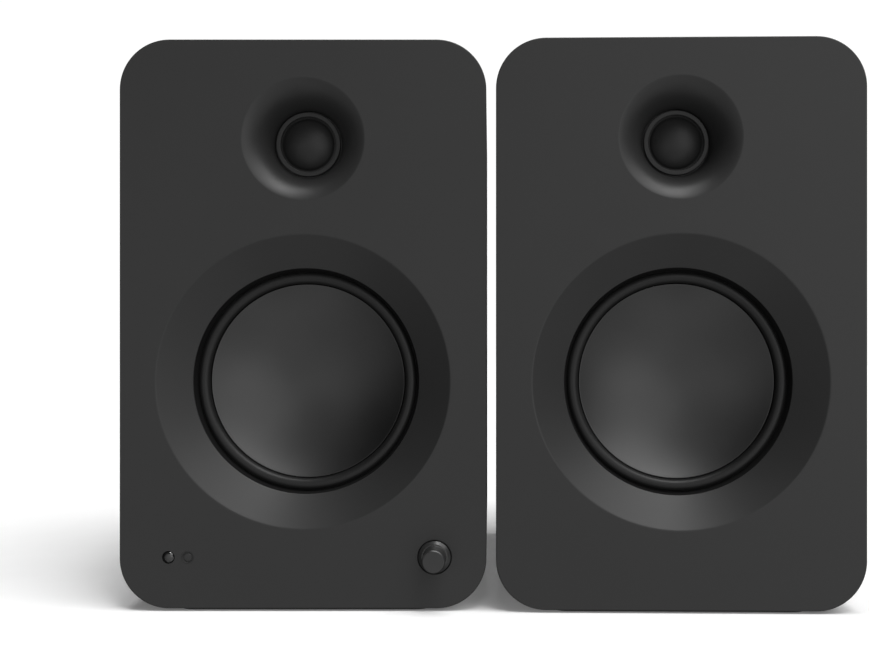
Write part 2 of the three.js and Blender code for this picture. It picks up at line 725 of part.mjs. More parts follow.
const pair = new THREE.Group();
pair.add(powered, passive);
const middle = new THREE.Box3().setFromObject(pair, true).getCenter(new THREE.Vector3());
pair.position.set(-middle.x, -middle.y, 0);

export default pair;
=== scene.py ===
"""A pair of powered desktop loudspeakers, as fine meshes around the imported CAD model.

Meshes are drawn in millimetres in the frame of one speaker: x across, y into the cabinet from its
front face, z up from the surface it stands on. Each piece is then placed in the row's frame.
"""

import json
import math

import bmesh
import bpy
import numpy as np
from mathutils import Matrix, Vector

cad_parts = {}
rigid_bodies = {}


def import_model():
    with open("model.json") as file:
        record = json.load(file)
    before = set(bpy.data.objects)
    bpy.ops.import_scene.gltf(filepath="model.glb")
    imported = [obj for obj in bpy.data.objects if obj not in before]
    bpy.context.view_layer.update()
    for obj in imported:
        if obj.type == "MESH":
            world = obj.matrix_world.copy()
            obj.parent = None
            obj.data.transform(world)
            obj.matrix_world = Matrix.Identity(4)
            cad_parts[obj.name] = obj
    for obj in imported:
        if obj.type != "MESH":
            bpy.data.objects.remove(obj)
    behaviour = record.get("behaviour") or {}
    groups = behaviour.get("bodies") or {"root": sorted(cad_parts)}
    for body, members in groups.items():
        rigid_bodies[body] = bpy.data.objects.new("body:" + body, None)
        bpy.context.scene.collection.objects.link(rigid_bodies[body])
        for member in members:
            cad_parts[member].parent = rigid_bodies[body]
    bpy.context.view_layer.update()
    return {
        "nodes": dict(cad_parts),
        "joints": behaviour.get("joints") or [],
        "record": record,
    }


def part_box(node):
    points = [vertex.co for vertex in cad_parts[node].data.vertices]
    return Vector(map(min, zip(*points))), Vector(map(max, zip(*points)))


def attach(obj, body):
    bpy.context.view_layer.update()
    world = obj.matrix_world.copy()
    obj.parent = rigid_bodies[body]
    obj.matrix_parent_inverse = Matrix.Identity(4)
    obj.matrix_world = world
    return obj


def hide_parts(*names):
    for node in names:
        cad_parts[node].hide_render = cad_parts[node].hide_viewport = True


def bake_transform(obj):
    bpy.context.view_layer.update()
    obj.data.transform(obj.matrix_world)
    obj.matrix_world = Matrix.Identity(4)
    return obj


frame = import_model()

# ---- Dimensions in millimetres: those that no CAD node's box gives ----

MM = 0.001
GAP = 0.3
CORNER = 23.7
WALL = 9.0
FACE_EDGE = 0.6
WOOFER_MOUTH, WOOFER_BORE, BORE_FROM, WOOFER_SEAT, WOOFER_REBATE = 69.96, 54.4, 9.92, 15.6, 63.3
ROLL_INNER, ROLL_OUTER, ROLL_HEIGHT, ROLL_PLANE = 47.4, 53.2, 2.9, 16.0
SPIDER_INNER, SPIDER_WAVES, SPIDER_WAVE = 13.6, 5, 1.0
TWEETER_MOUTH, THROAT, THROAT_AT, TWEETER_SEAT, TWEETER_REBATE = 29.26, 17.0, 15.4, 18.5, 26.3
RING_WIDTH = 1.69
DOME_RADIUS, DOME_HEIGHT = 12.3, 4.5
KNOB_RADIUS, KNOB_SHOULDER, KNOB_SOCKET, KNOB_SOCKET_END = 5.5, -0.8, 3.3, -8.0
KNOB_RECESS, KNOB_RECESS_DEPTH, ENCODER_HOLE = 8.2, 1.9, 4.4
WINDOW_RADIUS = 2.95
LENS_CURVE, LENS_PROUD = 3.9, 0.75
PORT_BORE, PORT_NECK, PORT_MOUTH, PORT_LIP = 20.0, 24.0, 28.0, 2.2
PLATE_OPENING = (108, 130)
PANEL_SCREW_RISE = 36.0
CUP_BODY, CUP_FLOOR, CUP_WALL, CUP_FLANGE, CUP_SCREWS = 34.0, 30.0, 2.0, 38.0, 34.9
STUD, POST_FOOT, WASHER_RADIUS, NUT_RADIUS = 2.0, 6.5, 5.5, 6.2
THREAD_PITCH, NUT_COLLAR, NUT_FLUTES = 0.7, 2.0, 6
KEY_TILT, KEY_DEPTH, KEY_TAPER = 8, 7.0, 2.5
JACK_PITCH, JACK_SLEEVE, AUX_RISE, AUX_SLEEVE = 16.0, 4.2, 15.0, 4.0
JACKS_OVER_SOCKET = 26.0

# Sides of a round piece
FINE = 160
MEDIUM = 72
COARSE = 32


# ---- Frame ----


class Speaker:
    """One speaker's own frame, found from its baffle and from the way its woofer travels."""

    def __init__(self, prefix, thickness=None):
        self.prefix = prefix
        self.body = prefix + "speaker"
        travel = next(j for j in frame["joints"] if j["name"] == prefix + "woofer_travel")
        turn = Matrix.Rotation(-math.atan2(travel["axis"][0], travel["axis"][1]), 4, "Z")
        low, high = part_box(prefix + "front_baffle")
        self.thickness = thickness or high.y - low.y
        centre = (low + high) / 2
        centre.z = 0
        front = centre - turn @ Vector((0, self.thickness / 2, 0))
        self.matrix = Matrix.Translation(front) @ turn

    def centre(self, node):
        low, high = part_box(node)
        return self.matrix.inverted() @ ((low + high) / 2) / MM

    def box(self, node):
        """Only right for the speaker that isn't turned."""
        low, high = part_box(node)
        shift = self.matrix.inverted()
        return shift @ low / MM, shift @ high / MM


active = Speaker("active_")
passive = Speaker("passive_", active.thickness)
speakers = (active, passive)

face_low, face_high = active.box("active_front_baffle")
WIDTH = face_high.x - face_low.x
HEIGHT = face_high.z - face_low.z
MIDDLE = (face_low.z + face_high.z) / 2
BAFFLE = face_high.y
CABINET_REAR = active.box("active_cabinet")[1].y
woofer_z = active.centre("active_woofer_cone").z
tweeter_z = active.centre("active_tweeter_dome").z
control_z = active.centre("volume_knob").z
knob_x = active.centre("volume_knob").x
port_z = active.centre("active_port_tube").z
cup_z = passive.centre("terminal_cup").z
PANEL_FRONT = active.box("active_rear_panel")[0].y
plate_low, plate_high = active.box("amplifier_plate")


# ---- Mesh making ----


def arc_corner(before, corner, after, radius, steps):
    """Points of an arc that rounds one corner of an outline."""
    to_before = Vector(before[:2]) - Vector(corner[:2])
    to_after = Vector(after[:2]) - Vector(corner[:2])
    half = to_before.angle(to_after) / 2
    if half > math.pi / 2 - 0.01:
        return [tuple(corner[:2])]
    reach = min(radius / math.tan(half), 0.49 * to_before.length, 0.49 * to_after.length)
    radius = reach * math.tan(half)
    point = Vector(corner[:2])
    start = point + to_before.normalized() * reach
    end = point + to_after.normalized() * reach
    bisector = (to_before.normalized() + to_after.normalized()).normalized()
    middle = point + bisector * (radius / math.sin(half))
    sweep = math.pi - 2 * half
    made = []
    for i in range(steps + 1):
        share = i / steps
        a = math.sin((1 - share) * sweep) / math.sin(sweep)
        b = math.sin(share * sweep) / math.sin(sweep)
        made.append(tuple(middle + (start - middle) * a + (end - middle) * b))
    return made


def rounded(points, steps=4, closed=False):
    """An outline in which each (a, b, radius) point becomes an arc, and (a, b) stays a corner."""
    made = []
    count = len(points)
    for i, point in enumerate(points):
        ends = not closed and i in (0, count - 1)
        if len(point) < 3 or ends:
            made.append(tuple(point[:2]))
        else:
            made += arc_corner(points[i - 1], point, points[(i + 1) % count], point[2], steps)
    return made


def rounded_rectangle(width, height, corner, steps=14):
    x, z = width / 2, height / 2
    outline = [(x, z, corner), (-x, z, corner), (-x, -z, corner), (x, -z, corner)]
    return rounded(outline, steps, closed=True)


def curve(start, pull, end, steps):
    """A quadratic curve between two outline points."""
    made = []
    for i in range(steps + 1):
        t = i / steps
        made.append(tuple(
            (1 - t) ** 2 * s + 2 * t * (1 - t) * p + t * t * e
            for s, p, e in zip(start, pull, end)
        ))
    return made


def finished(mesh_maker):
    """A mesh from a bmesh, with its faces turned outwards."""
    bmesh.ops.remove_doubles(mesh_maker, verts=mesh_maker.verts, dist=1e-4)
    bmesh.ops.recalc_face_normals(mesh_maker, faces=mesh_maker.faces)
    mesh = bpy.data.meshes.new("mesh")
    mesh_maker.to_mesh(mesh)
    mesh_maker.free()
    return mesh


def loft(rings, caps=True, around=False):
    """Skins a list of equal rings of points. around joins the last ring to the first."""
    made = bmesh.new()
    rows = [[made.verts.new(p) for p in ring] for ring in rings]
    pairs = list(zip(rows, rows[1:]))
    if around:
        pairs.append((rows[-1], rows[0]))
    for a, b in pairs:
        for i in range(len(a)):
            j = (i + 1) % len(a)
            made.faces.new((a[i], a[j], b[j], b[i]))
    if caps and not around:
        made.faces.new(rows[0])
        made.faces.new(rows[-1])
    return finished(made)


def circle(radius, y, steps):
    angles = [2 * math.pi * i / steps for i in range(steps)]
    return [(radius * math.cos(a), y, radius * math.sin(a)) for a in angles]


def lathe(outline, steps=MEDIUM):
    """A body of revolution about y. An outline of (radius, y) runs from axis to axis, or closes."""
    made = bmesh.new()
    on_axis = outline[0][0] < 1e-6 and outline[-1][0] < 1e-6
    rows = []
    for radius, y in outline:
        if radius < 1e-6:
            rows.append([made.verts.new((0, y, 0))])
            continue
        rows.append([made.verts.new(point) for point in circle(radius, y, steps)])
    pairs = list(zip(rows, rows[1:]))
    if not on_axis:
        pairs.append((rows[-1], rows[0]))
    for a, b in pairs:
        for i in range(steps):
            j = (i + 1) % steps
            corners = [a[i % len(a)], a[j % len(a)], b[j % len(b)], b[i % len(b)]]
            unique = list(dict.fromkeys(corners))
            if len(unique) > 2:
                made.faces.new(unique)
    return finished(made)


def drill(radius, front, rear, steps=MEDIUM):
    """A round cutter along y."""
    return lathe([(0, front), (radius, front), (radius, rear), (0, rear)], steps)


def edge_rows(front, rear, front_edge, rear_edge, steps=4):
    """(inset, y) rows of a slab whose two rims are rounded."""
    turns = [math.pi / 2 * i / steps for i in range(steps + 1)]
    rows = [(front_edge * (1 - math.sin(a)), front + front_edge * (1 - math.cos(a))) for a in turns]
    rows += [(rear_edge * (1 - math.cos(a)), rear - rear_edge * (1 - math.sin(a))) for a in turns]
    return rows


def slab(width, height, corner, front, rear, front_edge=0.4, rear_edge=0.4, steps=14):
    """A rounded rectangle across x and z, from y = front to y = rear, with soft rims."""
    rings = []
    for inset, y in edge_rows(front, rear, front_edge, rear_edge):
        outline = rounded_rectangle(width - 2 * inset, height - 2 * inset, corner - inset, steps)
        rings.append([(x, y, z) for x, z in outline])
    return loft(rings)


def prism(outline, front, rear):
    return loft([[(x, front, z) for x, z in outline], [(x, rear, z) for x, z in outline]])


def moved(mesh, x=0.0, y=0.0, z=0.0, turn=0.0):
    mesh.transform(Matrix.Translation((x, y, z)) @ Matrix.Rotation(turn, 4, "Y"))
    return mesh


def joined(*meshes):
    made = bmesh.new()
    for mesh in meshes:
        made.from_mesh(mesh)
        bpy.data.meshes.remove(mesh)
    mesh = bpy.data.meshes.new("mesh")
    made.to_mesh(mesh)
    made.free()
    return mesh


def boolean(mesh, cutters, operation="DIFFERENCE"):
    """Takes the cutters, which don't touch each other, from the mesh, or joins them to it."""
    body = bpy.data.objects.new("body", mesh)
    tool = bpy.data.objects.new("tool", joined(*cutters))
    for thing in (body, tool):
        bpy.context.scene.collection.objects.link(thing)
    modifier = body.modifiers.new("cut", "BOOLEAN")
    modifier.operation = operation
    modifier.solver = "EXACT"
    modifier.object = tool
    depsgraph = bpy.context.evaluated_depsgraph_get()
    made = bpy.data.meshes.new_from_object(body.evaluated_get(depsgraph), depsgraph=depsgraph)
    for thing in (body, tool):
        data = thing.data
        bpy.data.objects.remove(thing)
        bpy.data.meshes.remove(data)
    return made


def soften(thing, angle=38):
    """Smooth shading with sharp edges kept, and flat faces that stay flat beside rounded rims."""
    thing.data.polygons.foreach_set("use_smooth", [True] * len(thing.data.polygons))
    thing.data.set_sharp_from_angle(angle=math.radians(angle))
    weights = thing.modifiers.new("flat faces", "WEIGHTED_NORMAL")
    weights.keep_sharp = True


def piece(name, mesh, slot, speaker, at=(0, 0, 0), body=None, nodes=(), look=None, riding=True):
    """Places a mesh drawn round `at`, gives it its material, and makes it ride on its body."""
    mesh.transform(Matrix.Scale(MM, 4))
    mesh.name = name
    thing = bpy.data.objects.new(name, mesh)
    bpy.context.scene.collection.objects.link(thing)
    thing.matrix_world = speaker.matrix @ Matrix.Translation(Vector(at) * MM)
    mesh.materials.clear()
    mesh.materials.append(material(look or slot))
    soften(thing)
    if riding:
        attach(thing, body or speaker.body)
    if nodes:
        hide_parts(*nodes)
    return thing


# ---- Materials ----


class Shader:
    """A material's nodes, made in the order that they feed the surface."""

    def __init__(self, name):
        self.material = bpy.data.materials.new(name)
        self.material.use_nodes = True
        self.tree = self.material.node_tree
        self.surface = self.tree.nodes["Principled BSDF"]
        self.place = self.node("ShaderNodeTexCoord").outputs["Object"]

    def node(self, kind, **settings):
        made = self.tree.nodes.new(kind)
        for key, value in settings.items():
            setattr(made, key, value)
        return made

    def link(self, output, target):
        self.tree.links.new(output, target)

    def set(self, **values):
        for key, value in values.items():
            self.surface.inputs[key.replace("_", " ")].default_value = value

    def noise(self, scale, detail=3.0, roughness=0.5):
        made = self.node("ShaderNodeTexNoise")
        made.inputs["Scale"].default_value = scale
        made.inputs["Detail"].default_value = detail
        made.inputs["Roughness"].default_value = roughness
        self.link(self.place, made.inputs["Vector"])
        return made.outputs["Fac"]

    def cells(self, scale, feature="F1"):
        made = self.node("ShaderNodeTexVoronoi", feature=feature)
        made.inputs["Scale"].default_value = scale
        self.link(self.place, made.inputs["Vector"])
        return made.outputs["Distance"]

    def spread(self, value, low, high, start=0.3, end=0.7):
        made = self.node("ShaderNodeMapRange")
        self.link(value, made.inputs["Value"])
        made.inputs["From Min"].default_value = start
        made.inputs["From Max"].default_value = end
        made.inputs["To Min"].default_value = low
        made.inputs["To Max"].default_value = high
        return made.outputs["Result"]

    def math(self, operation, a, b=None):
        made = self.node("ShaderNodeMath", operation=operation)
        for socket, value in zip(made.inputs, (a, b)):
            if isinstance(value, (int, float)):
                socket.default_value = value
            elif value is not None:
                self.link(value, socket)
        return made.outputs["Value"]

    def place_parts(self):
        parts = self.node("ShaderNodeSeparateXYZ")
        self.link(self.place, parts.inputs["Vector"])
        return parts.outputs["X"], parts.outputs["Y"], parts.outputs["Z"]

    def from_axis(self):
        """Distance from the piece's own y axis."""
        x, _, z = self.place_parts()
        squares = self.math("ADD", self.math("MULTIPLY", x, x), self.math("MULTIPLY", z, z))
        return self.math("SQRT", squares)

    def colour(self, value, dark, light):
        made = self.node("ShaderNodeMix", data_type="RGBA")
        self.link(value, made.inputs["Factor"])
        made.inputs["A"].default_value = (*dark, 1)
        made.inputs["B"].default_value = (*light, 1)
        self.link(made.outputs["Result"], self.surface.inputs["Base Color"])

    def rough(self, value, low, high):
        self.link(self.spread(value, low, high), self.surface.inputs["Roughness"])

    def bump(self, height, depth):
        """Depth is in millimetres for a height that runs from 0 to 1."""
        made = self.node("ShaderNodeBump")
        made.inputs["Distance"].default_value = depth * MM
        self.link(height, made.inputs["Height"])
        chained = self.surface.inputs["Normal"]
        if chained.is_linked:
            self.link(chained.links[0].from_socket, made.inputs["Normal"])
        self.link(made.outputs["Normal"], chained)


# Radians per metre: a ring each 0.3 mm, and a turn each 0.7 mm
SPUN_RINGS, WINDING = 21000, 9000


def grey(level):
    return (level, level, level)


def grained(name, level, rough, variation=0.06, grain=2600, depth=0.012, **settings):
    """A moulded or coated surface: fine grain in the bump, slow drift in colour and gloss."""
    shader = Shader(name)
    shader.set(**settings)
    drift = shader.noise(22, 4, 0.6)
    dark, light = grey(level * (1 - variation)), grey(level * (1 + variation))
    shader.colour(shader.spread(drift, 0, 1), dark, light)
    fine = shader.noise(grain, 2, 0.5)
    mixed = shader.math("MULTIPLY", shader.math("ADD", drift, fine), 0.5)
    shader.rough(mixed, rough - 0.04, rough + 0.04)
    shader.bump(fine, depth)
    return shader


def wrap_look(name):
    """Vinyl with a pebbled grain of about half a millimetre."""
    shader = grained(name, 0.020, 0.45, 0.05, 3000, 0.006, Specular_IOR_Level=0.35)
    shader.bump(shader.cells(1900, "SMOOTH_F1"), 0.035)


def cone_look(name):
    """Dark anodised metal under a satin coat: very fine spun rings that waver a little."""
    shader = Shader(name)
    shader.set(Metallic=1.0)
    waver = shader.math("MULTIPLY", shader.noise(60, 2), 2e-5)
    radius = shader.math("ADD", shader.from_axis(), waver)
    rings = shader.math("SINE", shader.math("MULTIPLY", radius, SPUN_RINGS))
    drift = shader.noise(30, 3)
    shader.colour(shader.spread(drift, 0, 1), grey(0.053), grey(0.058))
    shader.rough(drift, 0.38, 0.42)
    shader.bump(rings, 0.0006)


def metal_look(name, colour, rough, grain=900):
    shader = Shader(name)
    shader.set(Metallic=1.0)
    drift = shader.noise(grain / 10, 4)
    dark, light = [c * 0.9 for c in colour], [min(1, c * 1.06) for c in colour]
    shader.colour(shader.spread(drift, 0, 1), dark, light)
    fine = shader.noise(grain * 3, 3)
    mixed = shader.math("MULTIPLY", shader.math("ADD", drift, fine), 0.5)
    shader.rough(mixed, rough - 0.07, rough + 0.08)
    shader.bump(fine, 0.004)


def weave_look(name, dark, light, threads, rough, depth, **settings):
    """Cloth of two crossing sets of threads, in radians per metre."""
    shader = Shader(name)
    shader.set(**settings)
    x, _, z = shader.place_parts()
    warp = shader.math("SINE", shader.math("MULTIPLY", x, threads))
    weft = shader.math("SINE", shader.math("MULTIPLY", z, threads))
    height = shader.spread(shader.math("MULTIPLY", warp, weft), 0, 1, -1, 1)
    drift = shader.noise(90, 3)
    shader.colour(shader.math("MULTIPLY", shader.math("ADD", height, drift), 0.5), dark, light)
    shader.rough(drift, rough - 0.05, rough + 0.05)
    shader.bump(height, depth)


def winding_look(name):
    """Enamelled copper wire laid side by side along y."""
    shader = Shader(name)
    shader.set(Metallic=1.0)
    _, y, _ = shader.place_parts()
    turns = shader.spread(shader.math("SINE", shader.math("MULTIPLY", y, WINDING)), 0, 1, -1, 1)
    drift = shader.noise(120, 3)
    shader.colour(shader.spread(drift, 0, 1), (0.40, 0.15, 0.05), (0.62, 0.27, 0.11))
    shader.rough(drift, 0.22, 0.34)
    shader.bump(turns, 0.12)


def circuit_look(name):
    """Solder mask over copper tracks, as a faint raised pattern."""
    shader = Shader(name)
    tracks = shader.cells(180, "DISTANCE_TO_EDGE")
    raised = shader.spread(tracks, 1, 0, 0.04, 0.1)
    shader.colour(raised, (0.006, 0.035, 0.012), (0.015, 0.085, 0.03))
    shader.rough(shader.noise(400), 0.3, 0.42)
    shader.bump(raised, 0.04)


def lens_look(name):
    """A satin dome with a polished rim."""
    shader = Shader(name)
    shader.set(Specular_IOR_Level=0.75)
    drift = shader.noise(300, 3)
    shader.colour(shader.spread(drift, 0, 1), grey(0.006), grey(0.009))
    rim = shader.spread(shader.from_axis(), 0, 1, 0.0014, 0.002)
    haze = shader.math("SUBTRACT", 0.5, shader.math("MULTIPLY", rim, 0.42))
    shader.link(haze, shader.surface.inputs["Roughness"])
    shader.bump(shader.noise(2400, 2), 0.0005)


def red_look(name):
    shader = Shader(name)
    shader.set(Coat_Weight=0.3, Coat_Roughness=0.1)
    drift = shader.noise(200, 3)
    shader.colour(shader.spread(drift, 0, 1), (0.30, 0.006, 0.006), (0.42, 0.012, 0.010))
    shader.rough(drift, 0.22, 0.32)
    shader.bump(shader.noise(2200, 2), 0.005)


CLOTH_TONES = (0.25, 0.16, 0.05), (0.5, 0.36, 0.14)
DOME_TONES = grey(0.009), grey(0.014)


def look(maker, *values, **settings):
    """A material's maker with its values, which waits for the material's name."""
    return lambda name: maker(name, *values, **settings)


LOOKS = {
    "baffle": look(grained, 0.020, 0.42, 0.03, 3200, 0.005, Specular_IOR_Level=0.3),
    "knob": look(grained, 0.021, 0.30, 0.04, 3200, 0.003, Specular_IOR_Level=0.4),
    "cabinet_wrap": wrap_look,
    "rubber": look(grained, 0.009, 0.42, 0.12, 1800, 0.006, Specular_IOR_Level=0.25),
    "cone": cone_look,
    "plated_steel": look(metal_look, (0.55, 0.55, 0.56), 0.32),
    "screw_black": look(metal_look, (0.06, 0.06, 0.062), 0.38),
    "copper": winding_look,
    "treated_cloth": look(weave_look, *CLOTH_TONES, 9000, 0.7, 0.05),
    "dome_cloth": look(weave_look, *DOME_TONES, 16000, 0.45, 0.012, Specular_IOR_Level=0.28),
    "ferrite": look(grained, 0.03, 0.55, 0.2, 1500, 0.02),
    "dark_trim": look(grained, 0.018, 0.40, 0.05, 3000, 0.004, Specular_IOR_Level=0.25),
    "brass": look(metal_look, (0.78, 0.56, 0.22), 0.22),
    "black_plastic": look(grained, 0.014, 0.42, 0.1, 2200, 0.012, Specular_IOR_Level=0.4),
    "red_plastic": red_look,
    "gloss_black": look(grained, 0.010, 0.18, 0.15, 1200, 0.002),
    "smoked_lens": lens_look,
    "painted_plate": look(grained, 0.016, 0.46, 0.1, 1400, 0.03, Specular_IOR_Level=0.4),
    "circuit_board": circuit_look,
}


def material(name):
    if name not in bpy.data.materials:
        LOOKS[name](name)
    return bpy.data.materials[name]


for imported in list(bpy.data.materials):
    bpy.data.materials.remove(imported)


# ---- Enclosure ----


def woofer_opening():
    outline = rounded([
        (0, -3),
        (WOOFER_MOUTH + 1.1, -3),
        (WOOFER_MOUTH + 1.1, 0),
        (WOOFER_MOUTH, 0, 3.2),
        (WOOFER_BORE, BORE_FROM, 0.7),
        (WOOFER_BORE, WOOFER_SEAT),
        (WOOFER_REBATE, WOOFER_SEAT),
        (WOOFER_REBATE, BAFFLE + 1),
        (0, BAFFLE + 1),
    ], 5)
    return moved(lathe(outline, FINE), z=woofer_z)


def tweeter_opening():
    flare = curve((TWEETER_MOUTH - 0.5, 0.15), (THROAT + 2.4, 4), (THROAT, THROAT_AT), 20)
    outline = [
        (0, -3),
        (TWEETER_MOUTH + 0.6, -3),
        (TWEETER_MOUTH + 0.6, -0.02),
        (TWEETER_MOUTH, 0.02),
        *flare,
        (THROAT - 0.4, THROAT_AT + 1.4),
        (THROAT - 0.7, TWEETER_SEAT),
        (TWEETER_REBATE, TWEETER_SEAT),
        (TWEETER_REBATE, BAFFLE + 1),
        (0, BAFFLE + 1),
    ]
    return moved(lathe(outline, FINE), z=tweeter_z)


def control_openings():
    recess = rounded([
        (0, -2),
        (KNOB_RECESS + 0.5, -2),
        (KNOB_RECESS + 0.5, 0),
        (KNOB_RECESS - 0.15, 0, 0.35),
        (KNOB_RECESS - 0.15, KNOB_RECESS_DEPTH, 0.4),
        (ENCODER_HOLE, KNOB_RECESS_DEPTH),
        (ENCODER_HOLE, BAFFLE + 1),
        (0, BAFFLE + 1),
    ], 4)
    made = [moved(lathe(recess, MEDIUM), x=knob_x, z=control_z)]
    for node in ("status_window", "sensor_window"):
        hole = drill(WINDOW_RADIUS + 0.06, -2, BAFFLE + 1)
        made.append(moved(hole, x=active.centre(node).x, z=control_z))
    return made


def front_baffle(speaker):
    blank = slab(WIDTH, HEIGHT, CORNER, 0, BAFFLE, FACE_EDGE, 0.5, 24)
    cutters = [woofer_opening(), tweeter_opening()]
    if speaker is active:
        cutters += control_openings()
    mesh = boolean(moved(blank, z=MIDDLE), cutters)
    name = speaker.prefix + "front_baffle"
    return piece(name + "_shell", mesh, "baffle", speaker, nodes=[name])


def cabinet(speaker):
    front, rear = BAFFLE + GAP, CABINET_REAR
    inner = [(WALL - 0.6, rear), (WALL, rear - 0.6), (WALL, front)]
    rings = []
    for inset, y in edge_rows(front, rear, 0.5, 1.6) + inner:
        outline = rounded_rectangle(WIDTH - 2 * inset, HEIGHT - 2 * inset, CORNER - inset, 24)
        rings.append([(x, y, z + MIDDLE) for x, z in outline])
    name = speaker.prefix + "cabinet"
    return piece(name + "_sleeve", loft(rings, around=True), "cabinet_wrap", speaker, nodes=[name])


def base_pad(speaker):
    low, high = active.box("active_base_pad")
    mesh = slab(high.x - low.x, high.y - low.y, 8, 0, high.z - low.z, 0.15, 0.3, 8)
    mesh.transform(Matrix.Rotation(math.pi / 2, 4, "X"))
    name = speaker.prefix + "base_pad"
    at = (0, (low.y + high.y) / 2, 0)
    return piece(name + "_sheet", mesh, "rubber", speaker, at, nodes=[name])


def screw_head(at, radius, turn):
    """A pan head with a cross recess. Its face looks along +y."""
    outline = rounded([
        (0, 1.5),
        (radius * 0.55, 1.42, 0.8),
        (radius * 0.92, 0.9, 0.5),
        (radius, 0, 0.2),
        (radius - 0.2, -1),
        (0, -1),
    ], 3)
    long, short = radius * 0.62, 0.38
    bars = [
        prism([(-x, -z), (x, -z), (x, z), (-x, z)], 0.5, 3)
        for x, z in ((long, short), (short, long))
    ]
    cross = boolean(bars[0], [bars[1]], "UNION")
    return moved(boolean(lathe(outline, COARSE), [cross]), *at, turn)


def screws(name, places, y, speaker, radius=3.2):
    heads = [screw_head((x, y, z), radius, 0.4 * i) for i, (x, z) in enumerate(places)]
    return piece(name, joined(*heads), "painted_plate", speaker, look="screw_black")


def rear_panel(speaker):
    low, high = active.box("active_rear_panel")
    width, height = high.x - low.x, high.z - low.z
    blank = slab(width, height, CORNER - WALL - GAP, low.y, high.y, 0.4, 0.9, 16)
    reach = (low.y - 2, high.y + 2)
    port = drill(PORT_NECK + GAP, *reach, FINE)
    if speaker is active:
        opening = slab(*PLATE_OPENING, 4, *reach)
        opening_z = (plate_low.z + plate_high.z) / 2
    else:
        opening = drill(CUP_BODY + GAP, *reach, FINE)
        opening_z = cup_z
    mesh = boolean(moved(blank, z=MIDDLE), [moved(port, z=port_z), moved(opening, z=opening_z)])
    name = speaker.prefix + "rear_panel"
    x = width / 2 - 8
    levels = (low.z + 10, MIDDLE + PANEL_SCREW_RISE, high.z - 10)
    places = [(side * x, z) for side in (-1, 1) for z in levels]
    screws(name + "_screws", places, high.y, speaker)
    return piece(name + "_board", mesh, "cabinet_wrap", speaker, nodes=[name])


def port_tube(speaker):
    low, high = active.box("active_port_tube")
    lip, rear = (high.x - low.x) / 2, high.y
    seat = rear - PORT_LIP
    outline = rounded([
        (PORT_BORE, low.y),
        (PORT_BORE + 2, low.y),
        (PORT_BORE + 2, PANEL_FRONT - 3),
        (PORT_NECK, PANEL_FRONT - 1),
        (PORT_NECK, seat),
        (lip, seat, 0.3),
        (lip, rear, 1.4),
        (PORT_MOUTH + 0.5, rear, 0.8),
    ], 5)
    mouth, pull = (PORT_MOUTH, rear - 0.1), (PORT_BORE + 0.4, rear - 0.8)
    outline += curve(mouth, pull, (PORT_BORE, rear - 22), 22)
    name = speaker.prefix + "port_tube"
    at = (0, 0, port_z)
    return piece(name + "_flare", lathe(outline, FINE), "black_plastic", speaker, at, nodes=[name])


for speaker in speakers:
    front_baffle(speaker)
    cabinet(speaker)
    base_pad(speaker)
    rear_panel(speaker)
    port_tube(speaker)


# ---- Drivers ----


def parabola(radius, edge, depth, steps):
    """Points from the axis to the rim of a dish whose floor is `depth` behind its edge."""
    shares = [i / steps for i in range(steps + 1)]
    return [(radius * s, edge + depth * (1 - s * s)) for s in shares]


def woofer_cone(speaker):
    low, high = active.box("active_woofer_cone")
    radius = (high.x - low.x) / 2
    edge, floor = low.y, high.y - 1
    front = parabola(radius - 0.5, edge + 0.15, floor - edge - 0.15, 44)
    rim = rounded([front[-1], (radius, edge - 0.1, 0.25), (radius, edge + 0.9)], 3)
    back = parabola(radius - 0.6, edge + 1.1, floor - edge - 0.2, 30)
    name = speaker.prefix + "woofer_cone"
    mesh = lathe(front[:-1] + rim + back[::-1], FINE)
    at, body = (0, 0, woofer_z), speaker.prefix + "woofer_moving"
    return piece(name + "_dish", mesh, "cone", speaker, at, body, [name])


def follow_cone(thing):
    """Bakes a round piece's placement into its mesh."""
    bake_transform(thing)


def woofer_surround(speaker):
    """A half roll that rises in a cove to the baffle."""
    low, high = active.box("active_woofer_surround")
    flange, plane = (high.x - low.x) / 2, ROLL_PLANE
    middle, reach = (ROLL_INNER + ROLL_OUTER) / 2, (ROLL_OUTER - ROLL_INNER) / 2
    angles = [math.pi * i / 20 for i in range(21)]
    top, under = (
        [(middle - half * math.cos(a), level - ROLL_HEIGHT * math.sin(a)) for a in angles]
        for half, level in ((reach, plane), (reach - 0.7, plane + 0.7))
    )
    wall = WOOFER_BORE - 0.05
    foot, lip = (ROLL_OUTER - 0.1, plane - 0.5), (wall - 0.35, plane - 3)
    cove = curve(foot, (ROLL_OUTER + 0.2, plane + 0.3), lip, 8)
    cove += [(wall - 0.05, BORE_FROM + 0.6), (wall, BORE_FROM + 0.75), (wall, plane)]
    outline = top[:-2] + cove + [(flange, plane), (flange, plane + 0.9)] + under[::-1]
    name = speaker.prefix + "woofer_surround"
    mesh = lathe(outline + [(ROLL_INNER, plane + 0.7)], FINE)
    at = (0, 0, woofer_z)
    thing = piece(name + "_roll", mesh, "rubber", speaker, at, nodes=[name], riding=False)
    follow_cone(thing)


